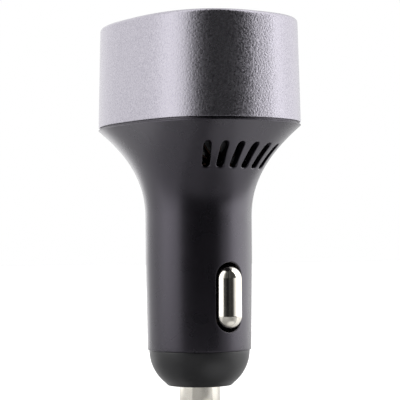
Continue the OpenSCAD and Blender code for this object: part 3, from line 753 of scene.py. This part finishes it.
# %% Capacitors
for node, name in (("input_capacitor", "input_can"), ("output_capacitor", "output_can")):
    low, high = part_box(node)
    r = (high.y - low.y) / 2
    groove_z = low.z + 2 * MM
    recess_z = high.z - 0.12 * MM
    can = filleted([(0, low.z, 0), (r, low.z, 0.3 * MM), (r, groove_z, 0.15 * MM),
                    (r - 0.25 * MM, groove_z + 0.35 * MM, 0.2 * MM), (r, groove_z + 0.7 * MM, 0.15 * MM),
                    (r, high.z, 0.4 * MM), (r - 0.9 * MM, high.z, 0.1 * MM),
                    (r - 1.0 * MM, recess_z, 0), (0, recess_z, 0)])
    middle = np.array([(low.x + high.x) / 2, (low.y + high.y) / 2, 0])
    make_piece(name, [sheet(revolve(can, 64) + middle)], "plug", "capacitor_can", [node])

# %% [markdown]
# ## Softened copies
# Boards, port shells, tongues, pads, screws and chips have the right form in the frame, but sharp
# edges. Each gets a copy: its triangles are merged, flat faces are dissolved into single ones, and
# a Bevel modifier rounds the edges.

# %% Copy and bevel
for node, name, slot, bevel_mm in (
        ("main_board", "upright_board", "circuit_board", 0.08),
        ("port_board", "port_board_sheet", "circuit_board", 0.08),
        ("board_screws", "port_board_screws", "screw_steel", 0.08),
        ("usb_shell_left", "port_shell_left", "port_steel", 0.07),
        ("usb_shell_right", "port_shell_right", "port_steel", 0.07),
        ("usb_tongue_left", "port_tongue_left", "port_plastic", 0.12),
        ("usb_tongue_right", "port_tongue_right", "port_plastic", 0.12),
        ("usb_pins_left", "port_pads_left", "gold_plate", 0.05),
        ("usb_pins_right", "port_pads_right", "gold_plate", 0.05),
        ("tip_terminal", "tip_terminal_strip", "brass_strip", 0.08),
        ("converter_chip", "converter_chip_body", "chip_epoxy", 0.06),
        ("rectifier_diode", "rectifier_body", "chip_epoxy", 0.1),
        ("input_fuse", "input_fuse_body", "fuse_ceramic", 0.15),
        ("indicator_lamp", "indicator_lamp_body", "lamp_epoxy", 0.08)):
    mesh = frame["nodes"][node].data.copy()
    mesh.name = name
    mesh.materials.clear()
    work = bmesh.new()
    work.from_mesh(mesh)
    bmesh.ops.remove_doubles(work, verts=work.verts, dist=1e-6)
    bmesh.ops.dissolve_limit(work, angle_limit=math.radians(1), verts=work.verts, edges=work.edges)
    work.to_mesh(mesh)
    work.free()
    bevel = finish_piece(name, mesh, "plug", slot, [node]).modifiers.new("edges", "BEVEL")
    bevel.width = bevel_mm * MM
    bevel.segments = 2
    bevel.limit_method = "ANGLE"
    bevel.angle_limit = math.radians(35)
    bevel.harden_normals = True

# %% [markdown]
# ## Finishes
# Each material starts from what the real surface is and how it was made. One function builds every
# finish, from a cloud that changes its colour and roughness a little, as wear and moulding do, and
# a relief. Coordinates are in metres, so a noise of scale 1 / length has grains of that length.

# %% Build a finish
def linear(code):
    """Linear RGBA of an sRGB hex colour: the curve is a power of 2.4 above a short straight foot."""
    part = np.array([int(code[i:i + 2], 16) for i in (1, 3, 5)]) / 255
    value = np.where(part <= 0.04045, part / 12.92, ((part + 0.055) / 1.055) ** 2.4)
    return (*value.tolist(), 1.0)


def empty_tree(holder):
    """The node tree of a material or world, with nothing in it yet."""
    holder.use_nodes = True
    holder.node_tree.nodes.clear()
    return holder.node_tree


def add(tree, kind, inputs=(), **settings):
    """Adds one node. Its inputs come in their order, or by name or number. Each is a value, a socket
    to link, or a node, which stands for its first output."""
    node = tree.nodes.new("ShaderNode" + kind)
    for key, value in settings.items():
        setattr(node, key, value)
    for key, value in inputs.items() if isinstance(inputs, dict) else enumerate(inputs):
        if isinstance(value, bpy.types.Node):
            value = value.outputs[0]
        if isinstance(value, bpy.types.NodeSocket):
            tree.links.new(value, node.inputs[key])
        else:
            node.inputs[key].default_value = value
    return node


def build_finish(name, dark, light, roughness, cloud, relief=None, depth_um=0.0, weave=False, **same):
    """A material whose colour and roughness change as the cloud goes from 0.3 to 0.7. The relief,
    else the cloud, stands up by depth_um thousandths of a millimetre. Both are noises: (grain in
    mm, detail) and, on a drawn surface, the stretch along X, Y and Z."""
    material = bpy.data.materials.new(name)
    tree = empty_tree(material)
    where = add(tree, "TexCoord").outputs["Object"]
    patterns = []
    for grain_mm, detail, *stretch in (cloud, relief or cloud):
        inputs = {"Vector": where, "Scale": 1 / (grain_mm * MM), "Detail": detail}
        if stretch:
            inputs["Vector"] = add(tree, "Mapping", {"Vector": where, "Scale": [1 / s for s in stretch]})
        patterns.append(add(tree, "TexNoise", inputs).outputs["Fac"])
    share, height = patterns
    if weave:
        inputs = {"Vector": where, "Scale": 1 / (20 * 0.5 * MM), "Distortion": 0.4, "Detail": 1.0}
        height = add(tree, "TexWave", inputs, bands_direction="Z").outputs["Fac"]
    ramp = add(tree, "ValToRGB", [share])
    for element, position, code in zip(ramp.color_ramp.elements, (0.3, 0.7), (dark, light)):
        element.position = position
        element.color = linear(code)
    inputs = {"Base Color": ramp, "Roughness": add(tree, "MapRange", [share, 0.3, 0.7, *roughness])}
    if depth_um:
        inputs["Normal"] = add(tree, "Bump", {"Height": height, "Distance": depth_um * MM / 1000,
                                              "Strength": 1.0})
    inputs.update((key.replace("_", " "), value) for key, value in same.items())
    add(tree, "OutputMaterial", [add(tree, "BsdfPrincipled", inputs)])
    return material


print("linear value of mid grey:", [round(x, 3) for x in linear("#808080")[:3]])

# %% [markdown]
# ### Metals
# The head is aluminium, blasted with fine beads and anodised. Its dents spread reflections into a
# soft sheen with a fine sparkle. Real ones are about 0.2 mm wide, too fine to show, so they are
# drawn at 0.36 mm. The contacts are steel, drawn through a die and plated with nickel. Their faint
# upright lines are drawn wider than real ones too.

# %% Metal finishes
finishes = {"head_aluminium": build_finish(
    "bead_blasted_aluminium", "#94919a", "#a8a5ad", (0.22, 0.37), (0.36, 2), depth_um=50.0, Metallic=1.0)}
for slot, name, dark, light, rough, lines, depth_um in (
        # a warm white mirror, softened by its upright lines
        ("nickel_plate", "nickel_plated_steel", "#eae5da", "#f1ede4", 0.11, (0.25, 3, 1, 1, 30), 4.0),
        # plain grey with a dull shine
        ("spring_steel", "drawn_spring_steel", "#a9a9a7", "#bcbcba", 0.28, (0.1, 3, 1, 1, 6), 1.5),
        # yellow, with lines across the strip
        ("brass_strip", "rolled_brass", "#c2a455", "#d0b367", 0.25, (0.1, 3, 1, 12, 1), 1.0),
        # bluish grey, a little cloudy
        ("screw_steel", "zinc_plated_steel", "#b4b8bf", "#c6c9ce", 0.25, (0.15, 3), 1.0),
        # cool grey, shiny enough to show the port's depth
        ("port_steel", "nickel_plated_port_steel", "#bdbec0", "#cbccce", 0.22, (0.1, 3, 1, 1, 12), 1.0),
        # small yellow glints on the tongue
        ("gold_plate", "gold_plated_pads", "#d8b35c", "#e4c377", 0.18, (0.1, 3, 1, 1, 8), 0.6),
        # brown under its varnish
        ("copper_wire", "enamelled_copper", "#473731", "#56433b", 0.35, (0.2, 3), 1.0)):
    finishes[slot] = build_finish(name, dark, light, (rough * 0.8, rough * 1.2), (1.5, 2), lines, depth_um,
                                  Metallic=1.0)
print("metals:", len(finishes))

# %% [markdown]
# ### Plastics, and what is cast or pressed
# The housing is ABS from a mould with a fine satin texture. The parts on the boards are cast or
# pressed, each an even colour with a fine speckle. A board is glass cloth in resin under green
# varnish. The cloth's real pitch of 0.5 mm is too fine to show, so it is drawn at 3 mm.

# %% Plastic and cast finishes
for slot, name, dark, light, rough, grain_mm, depth_um, ior, tint in (
        # near black, with a soft sheen that gets bright towards the outline
        ("housing_abs", "satin_moulded_abs", "#151418", "#18161b", 0.28, 0.12, 1.2, 1.67, "#f5eeff"),
        # dull black, so that the ports stand out
        ("face_plastic", "textured_face_plastic", "#141416", "#19191b", 0.48, 0.25, 5.0, 1.54, "#ffffff"),
        # black, between the two
        ("nose_plastic", "satin_nose_plastic", "#17171a", "#1b1b1e", 0.36, 0.15, 1.5, 1.54, "#ffffff"),
        # soft white
        ("port_plastic", "white_port_plastic", "#dedddb", "#e6e5e3", 0.42, 0.15, 1.5, 1.5, "#ffffff")):
    finishes[slot] = build_finish(name, dark, light, (rough - 0.015, rough + 0.015), (5.0, 2),
                                  (grain_mm, 3), depth_um, IOR=ior, Specular_Tint=linear(tint))
for slot, name, dark, light, rough, grain_mm, depth_um in (
        # matt grey paint over pressed powder
        ("ferrite", "coated_iron_powder", "#84868a", "#94969a", 0.5, 0.3, 6.0),
        # dark blue-grey film with a sheen
        ("capacitor_can", "heat_shrunk_sleeve", "#3c3e48", "#464954", 0.3, 0.8, 1.0),
        # matt black
        ("chip_epoxy", "moulded_epoxy", "#1a1b1d", "#242527", 0.5, 0.2, 4.0),
        # cream with a soft gloss
        ("fuse_ceramic", "glazed_ceramic", "#cfcab8", "#dad6c6", 0.35, 0.5, 1.5),
        # pale yellow, as of a lamp that is off
        ("lamp_epoxy", "cast_lamp_epoxy", "#e9e4cc", "#f2eedb", 0.3, 0.4, 1.0)):
    finishes[slot] = build_finish(name, dark, light, (rough - 0.05, rough + 0.05), (grain_mm, 3),
                                  depth_um=depth_um, IOR=1.5)
# clear, faintly milky
finishes["lens_polycarbonate"] = build_finish("clear_polycarbonate", "#dfe8f0", "#f3f7fb", (0.08, 0.14),
                                              (0.4, 2), IOR=1.58, Transmission_Weight=0.85)
# dark green gloss
finishes["circuit_board"] = build_finish("solder_masked_laminate", "#123a22", "#1b4d2d", (0.25, 0.35),
                                         (1.2, 2), depth_um=3.0, weave=True, IOR=1.5)
for piece in made:
    piece.data.materials.clear()
    piece.data.materials.append(finishes[piece["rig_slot"]])
print("finishes:", len(finishes), "on", len(made), "pieces")

# %% [markdown]
# ## Light
# The photograph was made in a light tent that is open at the front, a little to the right of the
# camera. A smooth surface mirrors the room there as an uneven dark band, and the tent's lit sides
# as bright flanks. The world is that tent: its light depends only on the angle about the plug's
# axis. To the camera it is plain white.

# %% The tent's light round the plug
LEVEL_MAX = 4.0  # the brightest level that a ramp can stand for
tent_stops = (  # degrees from the camera, positive to the right, and level
    (-180, 1.0), (-165, 1.3), (-140, 1.6), (-120, 1.5), (-88, 1.55), (-76, 2.25), (-63, 2.15),
    (-54, 1.8), (-45, 1.35), (-38, 0.68), (-30, 0.24), (-24, 0.13), (-17, 0.04), (-9, 0.1),
    (-3, 0.03), (6, 0.03), (14, 0.09), (24, 0.05), (56, 0.05), (71, 0.1), (75, 2.1), (80, 3.6),
    (88, 2.4), (95, 1.95), (130, 1.8), (160, 1.2), (180, 1.0))
right = Vector((-front.y, front.x, 0))


def tent_level(tree, way, stops):
    """Radiance at a direction or place: a ramp over its angle about the Z axis. The ramp's colours
    hold at most 1, so they hold each level divided by LEVEL_MAX."""
    aside, ahead = [add(tree, "VectorMath", [way, tuple(axis)], operation="DOT_PRODUCT").outputs["Value"]
                    for axis in (right, front)]
    turn = add(tree, "Math", [aside, ahead], operation="ARCTAN2")
    ramp = add(tree, "ValToRGB", [add(tree, "MapRange", [turn, -math.pi, math.pi])])
    while len(ramp.color_ramp.elements) < len(stops):
        ramp.color_ramp.elements.new(0.5)
    for element, (degrees, level) in zip(ramp.color_ramp.elements, stops):
        element.position = (degrees + 180) / 360
        element.color = (*[level / LEVEL_MAX] * 3, 1)
    return add(tree, "Math", [ramp, LEVEL_MAX], operation="MULTIPLY")


world = bpy.data.worlds.new("tent")
tree = empty_tree(world)
way = add(tree, "TexCoord").outputs["Generated"]
ray = add(tree, "LightPath").outputs
seen = add(tree, "Math", [ray["Is Camera Ray"], ray["Is Transmission Ray"]], operation="MAXIMUM")
strength = add(tree, "Mix", {0: seen, 2: tent_level(tree, way, tent_stops), 3: 1.0}, data_type="FLOAT")
sky = add(tree, "Background", {"Color": (1, 1, 1, 1), "Strength": strength})
add(tree, "OutputWorld", [sky])
bpy.context.scene.world = world
print("tent stops:", len(tent_stops))

# %% [markdown]
# Low down, the tent's right side began further round to the front, its left side was dimmer and
# the room was darker: the barrel and the side contact show it, and the head doesn't. A low curved
# screen stands on each side, seen only where something mirrors it.

# %% Low screens
right_stops = (
    (-36, 0.09), (-20, 0.05), (-11, 0.02), (-3, 0.01), (6, 0.02), (15, 0.05), (22, 0.03), (32, 0.04),
    (42, 0.07), (52, 0.7), (64, 1.2), (80, 2.5), (98, 2.7), (120, 2.1), (140, 1.9))
left_stops = ((-165, 1.8), (-150, 2.1), (-138, 1.5), (-126, 1.1), (-100, 1.0), (-84, 1.6))


def build_screen(name, stops, reach=170 * MM, height=50 * MM, columns=88):
    """A strip of a cylinder about the plug, from the first to the last of its stops, that glows."""
    turn = np.radians(np.linspace(stops[0][0], stops[-1][0], columns))[:, None]
    base = reach * (np.cos(turn) * np.array(front) + np.sin(turn) * np.array(right))
    points = np.concatenate([base, base + [0, 0, height]])
    mesh = bpy.data.meshes.new(name)
    mesh.from_pydata(points, [], grid_faces(2, columns, close_columns=False).tolist())
    screen = bpy.data.objects.new(name, mesh)
    bpy.context.scene.collection.objects.link(screen)
    screen.visible_camera = False
    screen.visible_diffuse = False
    screen.visible_shadow = False
    material = bpy.data.materials.new(name + "_cloth")
    tree = empty_tree(material)
    where = add(tree, "TexCoord").outputs["Object"]
    glow = add(tree, "Emission", {"Strength": tent_level(tree, where, stops)})
    add(tree, "OutputMaterial", [glow])
    mesh.materials.append(material)


build_screen("right_screen", right_stops)
build_screen("left_screen", left_stops)
print("screen stops:", len(right_stops), "and", len(left_stops))

# %% [markdown]
# ## Floor
# The plug stands on white paper. Light and shade are painted into its colour, as the plug mirrors
# it: it is painted lit beside and behind the plug, where the tent is bright, and in front it is
# painted dark from about 11 cm out, as shade from the dark room, so the side contact shows it only
# at its foot. A glow painted to the right of the plug, with no lamp there, a glow painted far out
# where the tent's cloth would be, and three painted pools of light shine from it as well. The
# camera sees it white all over, with the plug's own soft shadow.

# %% Floor with painted light and shade
PAPER_HALF = 3.0
mesh = bpy.data.meshes.new("floor")
corners = [(x * PAPER_HALF, y * PAPER_HALF, 0) for x, y in ((-1, -1), (1, -1), (1, 1), (-1, 1))]
mesh.from_pydata(corners, [], [(0, 1, 2, 3)])
floor = bpy.data.objects.new("floor", mesh)
bpy.context.scene.collection.objects.link(floor)
material = bpy.data.materials.new("paper_with_painted_light")
tree = empty_tree(material)
where = add(tree, "TexCoord").outputs["Object"]
values = {
    "aside": add(tree, "VectorMath", [where, tuple(right)], operation="DOT_PRODUCT").outputs["Value"],
    "away": add(tree, "VectorMath", [where], operation="LENGTH").outputs["Value"],
    "tent": tent_level(tree, where, tent_stops)}
# Each step names a value, says how it is made, and from what. A smooth step goes from one value to
# another, 0 and 1 if none are said, as the first input goes over a range.
# These steps paint light and shade into the paper. Share is how lit its colour is painted, from dark in
# front to white beside and behind. The first glow is painted to the right of the plug, with no lamp there,
# the cloth glow far out where the tent's cloth would be, and each patch is a painted pool of light. Every
# ray but the camera's sees them.
steps = [
    ("side", "SMOOTHSTEP", "tent", 0.1, 1.5),
    ("near", "SMOOTHSTEP", "away", 90 * MM, 125 * MM, 1.0, 0.0),
    ("near_side", "SMOOTHSTEP", "aside", -10 * MM, 30 * MM, 0.57, 0.37),
    ("near_share", "MULTIPLY", "near", "near_side"),
    ("share", "MAXIMUM", "side", "near_share"),
    ("lamp", "SMOOTHSTEP", "aside", 20 * MM, 85 * MM, 0.0, 0.3),
    ("lamp_share", "MAXIMUM", "side", "near"),
    ("lamp", "MULTIPLY", "lamp", "lamp_share"),
    ("far", "SMOOTHSTEP", "away", 100 * MM, 320 * MM),
    ("cloth", "SMOOTHSTEP", "aside", -60 * MM, 60 * MM, 0.5, 0.15),
    ("cloth", "MULTIPLY", "cloth", "far"),
    ("cloth", "MULTIPLY", "cloth", "tent"),
    ("light", "ADD", "lamp", "cloth")]
for ahead, sideways, radius, light in ((-42, -62, 45, 0.47), (4, 44, 38, 0.36), (16, 13, 15, 0.5)):
    middle = (front * ahead + right * sideways) * MM
    reach = add(tree, "VectorMath", [where, tuple(middle)], operation="DISTANCE").outputs["Value"]
    steps += [("patch", "SMOOTHSTEP", reach, 0.3 * radius * MM, radius * MM, light, 0.0),
              ("light", "ADD", "light", "patch")]
for name, how, *inputs in steps:
    inputs = [values[value] if isinstance(value, str) else value for value in inputs]
    if how == "SMOOTHSTEP":
        values[name] = add(tree, "MapRange", inputs, interpolation_type=how)
    else:
        values[name] = add(tree, "Math", inputs, operation=how)
seen = add(tree, "LightPath").outputs["Is Camera Ray"]
share = add(tree, "Mix", {0: seen, 2: values["share"], 3: 1.0}, data_type="FLOAT")
fibre = add(tree, "TexNoise", {"Vector": where, "Scale": 1 / (2.0 * MM), "Detail": 2.0}).outputs["Fac"]
white = add(tree, "MapRange", [fibre, 0.3, 0.7, linear("#eeeeee")[0], linear("#f1f1f1")[0]])
# To every ray but the camera's, the paper is painted a duller white, and then painted dark where share
# falls off in front: painted shade.
white_or_painted_dim = add(tree, "Mix", {0: seen, 6: linear("#d6d6d6"), 7: white}, data_type="RGBA").outputs[2]
paper = add(tree, "Mix", {0: share, 6: linear("#1c1c1c"), 7: white_or_painted_dim}, data_type="RGBA").outputs[2]
glow = add(tree, "Mix", {0: seen, 2: values["light"], 3: 0.35}, data_type="FLOAT")
shader = add(tree, "BsdfPrincipled", {"Base Color": paper, "Roughness": 0.9, "IOR": 1.45,
                                      "Emission Color": (1, 1, 1, 1), "Emission Strength": glow})
add(tree, "OutputMaterial", [shader])
mesh.materials.append(material)
bpy.context.scene.view_settings.view_transform = "Standard"
print("floor:", len(steps), "steps")
